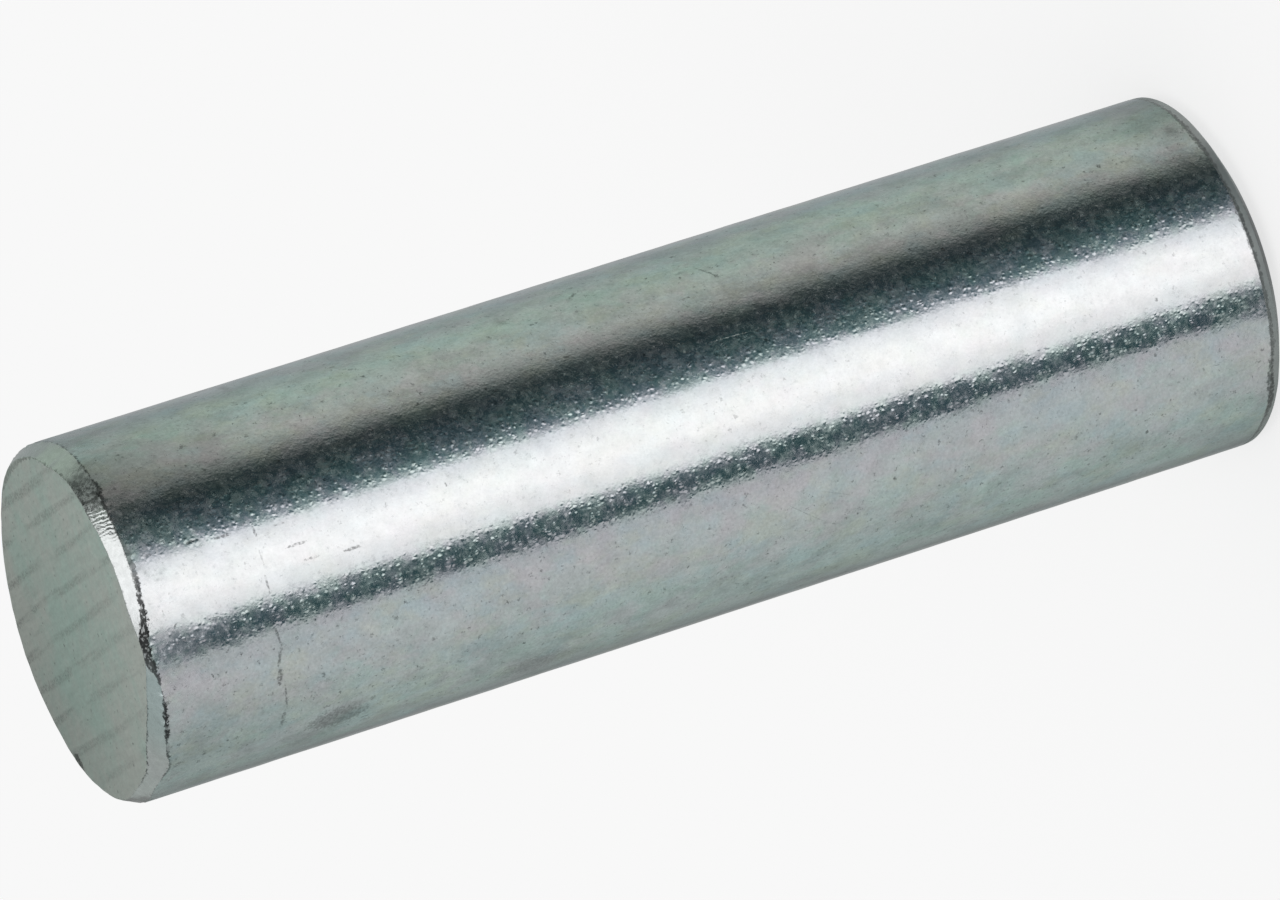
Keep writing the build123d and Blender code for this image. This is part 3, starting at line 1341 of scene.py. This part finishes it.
@dataclass(frozen=True)
class TurnedEndFinish:
    """The turned end and the worn strip above its shoulder: dull plate with a dark edge line, partly
    crumbled and partly painted shade, and with painted shade round the front.
    """

    name: str = "turned_end_plate"
    # Colours by side. The dark stops round the front, from -30 to 30 degrees, are painted shade, which dims
    # the bright card that the worn strip mirrors there.
    sides: TintStops = (
        (-180, (0.42, 0.46, 0.44)), (-76, (0.46, 0.50, 0.48)), (-66, (0.56, 0.60, 0.58)),
        (-42, (0.58, 0.61, 0.59)), (-30, (0.44, 0.47, 0.46)), (-14, (0.28, 0.30, 0.29)),
        (-8, (0.25, 0.265, 0.26)), (6, (0.25, 0.265, 0.26)), (16, (0.34, 0.37, 0.36)),
        (30, (0.37, 0.40, 0.39)), (180, (0.39, 0.43, 0.415)),
    )
    roughness: float = 0.50
    height_unit: float = 0.004 * MM

    def build(self) -> bpy.types.Material:
        """Makes the material."""
        plate = Plate(self.name)
        line = SHOULDER_LINE.darkness(plate, plate.shoulder_gap_mm)
        light = (plate.noise(0.6, 4.0, 0.6) * 0.3 + 0.85) * (1.0 - line)
        height = line * -1.0 + plate.noise(0.12, 2.0)
        return plate.finish(
            plate.side(self.sides), light, self.roughness, height, height_unit=self.height_unit
        )


# ---------------------------------------------------------------------------------------------------
# The studio
# ---------------------------------------------------------------------------------------------------


@dataclass(frozen=True)
class Studio:
    """A plain pale floor, soft light, and the white and black cards that a bright pin mirrors.

    The cards stand all round, far off. A card's place is its direction from the pin, in degrees round
    the pin from the front.
    """

    floor_radius: float = 1.6
    floor_colour: Colour = (0.93, 0.93, 0.93)
    floor_glow: float = 0.7
    room_strength: float = 0.78
    backdrop_strength: float = 0.98
    key_power: float = 2.6
    key_size: float = 0.7
    key_place: tuple[float, float, float] = (-0.15, -0.9, 1.1)
    low_cards: TintStops = (
        (-180, (0.42, 0.42, 0.42)), (-160, (0.40, 0.41, 0.43)), (-144, (0.36, 0.37, 0.39)),
        (-120, (0.48, 0.49, 0.49)), (-88, (0.50, 0.50, 0.50)), (-76, (0.36, 0.36, 0.36)),
        (-66, (0.10, 0.115, 0.115)), (-61, (0.036, 0.048, 0.052)), (-54, (0.024, 0.038, 0.045)),
        (-46, (0.036, 0.062, 0.072)), (-38, (0.062, 0.105, 0.118)), (-30, (0.14, 0.21, 0.24)),
        (-28, (0.34, 0.40, 0.43)), (-25.5, (1.02, 1.06, 1.11)), (-10, (1.42, 1.44, 1.44)),
        (2, (1.42, 1.42, 1.42)), (8, (1.23, 1.24, 1.25)), (16, (1.12, 1.15, 1.16)), (20, (0.95, 1.0, 1.02)),
        (22, (0.085, 0.14, 0.155)), (30, (0.043, 0.08, 0.092)), (37.5, (0.04, 0.075, 0.087)),
        (39.5, (0.58, 0.58, 0.59)), (60, (0.64, 0.63, 0.63)), (96, (0.52, 0.53, 0.52)),
        (128, (0.42, 0.44, 0.43)), (144, (0.36, 0.38, 0.37)), (160, (0.24, 0.25, 0.25)),
        (180, (0.42, 0.42, 0.42)),
    )
    high_cards: TintStops = (
        (-180, (0.42, 0.46, 0.44)), (-106, (0.46, 0.50, 0.47)), (-96, (0.10, 0.11, 0.11)),
        (-50, (0.05, 0.06, 0.06)), (-25, (0.50, 0.52, 0.52)), (60, (0.60, 0.63, 0.64)),
        (150, (0.55, 0.60, 0.59)), (180, (0.42, 0.46, 0.44)),
    )
    cards_meet: tuple[float, float] = (-0.05, 0.15)
    roof_card: Colour = (1.5, 1.52, 1.54)
    roof_direction: tuple[float, float] = (-80.0, 84.0)
    roof_reach: float = 30.0
    roof_softness: float = 0.03
    lens_mm: float = 361.4
    sensor_mm: float = 36.0
    clip: tuple[float, float] = (0.05, 10.0)
    camera_place: tuple[float, float, float] = (0.0, -0.5157, 0.23289)
    camera_right: tuple[float, float, float] = (-0.3041, -0.35188, -0.88527)
    camera_up: tuple[float, float, float] = (0.95264, -0.1121, -0.28268)

    def build(self) -> None:
        """Sets up the floor, the room, the key light and the camera."""
        self.lay_floor()
        self.light_room()
        self.hang_key()
        self.set_camera()

    def lay_floor(self) -> None:
        """Lays the floor that the pin stands on, which keeps its shadow and isn't mirrored in the plate."""
        bpy.ops.object.select_all(action="DESELECT")
        bpy.ops.mesh.primitive_circle_add(vertices=96, radius=self.floor_radius, fill_type="NGON")
        floor = bpy.context.object
        floor.name = "floor"
        material = bpy.data.materials.new("pale_floor")
        material.use_nodes = True
        wiring = Wiring(material.node_tree)
        matt = wiring.take("BsdfDiffuse", {"Color": self.floor_colour})
        white = wiring.take("Emission", {"Color": WHITE, "Strength": 1.0})
        share = wiring.take("LightPath", {}, "Is Camera Ray") * self.floor_glow
        wiring.node("OutputMaterial", {"Surface": wiring.take("MixShader", {0: share, 1: matt, 2: white})})
        floor.data.materials.append(material)
        floor.visible_glossy = False

    def light_room(self) -> None:
        """Wraps the scene in soft light, with the cards that only glossy rays see."""
        world = bpy.data.worlds.new("studio")
        world.use_nodes = True
        world.cycles.sampling_method = "NONE"
        bpy.context.scene.world = world
        wiring = Wiring(world.node_tree)
        path = wiring.node("LightPath")
        room = wiring.take("Background", {"Color": WHITE, "Strength": self.room_strength})
        backdrop = wiring.take("Background", {"Color": WHITE, "Strength": self.backdrop_strength})
        mirrored = wiring.take("Background", {"Color": self.cards(wiring), "Strength": 1.0})
        seen = wiring.take("MixShader", {0: path.outputs["Is Camera Ray"], 1: room, 2: backdrop})
        both = wiring.take("MixShader", {0: path.outputs["Is Glossy Ray"], 1: seen, 2: mirrored})
        wiring.node("OutputWorld", {"Surface": both})

    def cards(self, wiring: Wiring) -> Value:
        """Adds the cards' colours by direction: a low ring, a high ring and the roof card.

        Args:
            wiring: the world's nodes.

        Returns:
            The colour.
        """
        direction = wiring.take("TexCoord", {}, "Generated")
        parts = wiring.parts("SeparateXYZ", direction)
        angle = wiring.heading(parts)
        low, high = (wiring.round_stops(angle, stops) for stops in (self.low_cards, self.high_cards))
        rings = wiring.mix(wiring.step(parts[2], *self.cards_meet), low, high)
        turn_rad, rise_rad = (math.radians(v) for v in self.roof_direction)
        level = math.cos(rise_rad)
        roof = (-math.sin(turn_rad) * level, -math.cos(turn_rad) * level, math.sin(rise_rad))
        facing = wiring.take("VectorMath", {0: direction, 1: roof}, "Value", operation="DOT_PRODUCT")
        edge = math.cos(math.radians(self.roof_reach))
        share = wiring.step(facing, edge - self.roof_softness, edge + self.roof_softness)
        return wiring.mix(share, rings, self.roof_card)

    def hang_key(self) -> None:
        """Hangs the soft key light above and in front of the pin."""
        lamp = bpy.data.lights.new("key", "AREA")
        lamp.shape = "SQUARE"
        lamp.size = self.key_size
        lamp.energy = self.key_power
        key = bpy.data.objects.new("key", lamp)
        key.location = self.key_place
        key.rotation_mode = "QUATERNION"
        key.rotation_quaternion = (-Vector(self.key_place)).to_track_quat("-Z", "Y")
        key.visible_glossy = False
        bpy.context.scene.collection.objects.link(key)

    def set_camera(self) -> None:
        """Sets the camera up, far off with a long lens, looking down at the pin and rolled on its side."""
        lens = bpy.data.cameras.new("camera")
        lens.lens = self.lens_mm
        lens.sensor_width = self.sensor_mm
        lens.clip_start, lens.clip_end = self.clip
        camera = bpy.data.objects.new("camera", lens)
        camera.location = self.camera_place
        right, up = Vector(self.camera_right), Vector(self.camera_up)
        camera.rotation_mode = "QUATERNION"
        camera.rotation_quaternion = Matrix((right, up, right.cross(up))).transposed().to_quaternion()
        bpy.context.scene.collection.objects.link(camera)
        bpy.context.scene.camera = camera


def main() -> None:
    """Builds the pin, its finishes and the studio in order."""
    logging.basicConfig(level=logging.INFO, format="%(name)s: %(message)s")
    scene = bpy.context.scene
    scene.view_settings.view_transform = "Standard"
    low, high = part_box(NODE)
    finishes = {
        Area.BARREL: BarrelFinish().build(),
        Area.DRESSED_BEVEL: BevelFinish().build(),
        Area.SAWN_FACE: SawnFaceFinish().build(),
        Area.TURNED_END: TurnedEndFinish().build(),
    }
    bar = Bar(radius=(high.x - low.x) / 2, length=high.z - low.z).build(finishes)
    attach(bar, BODY)
    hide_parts(NODE)
    Studio().build()
    log.info("done")


if __name__ == "__main__":
    main()
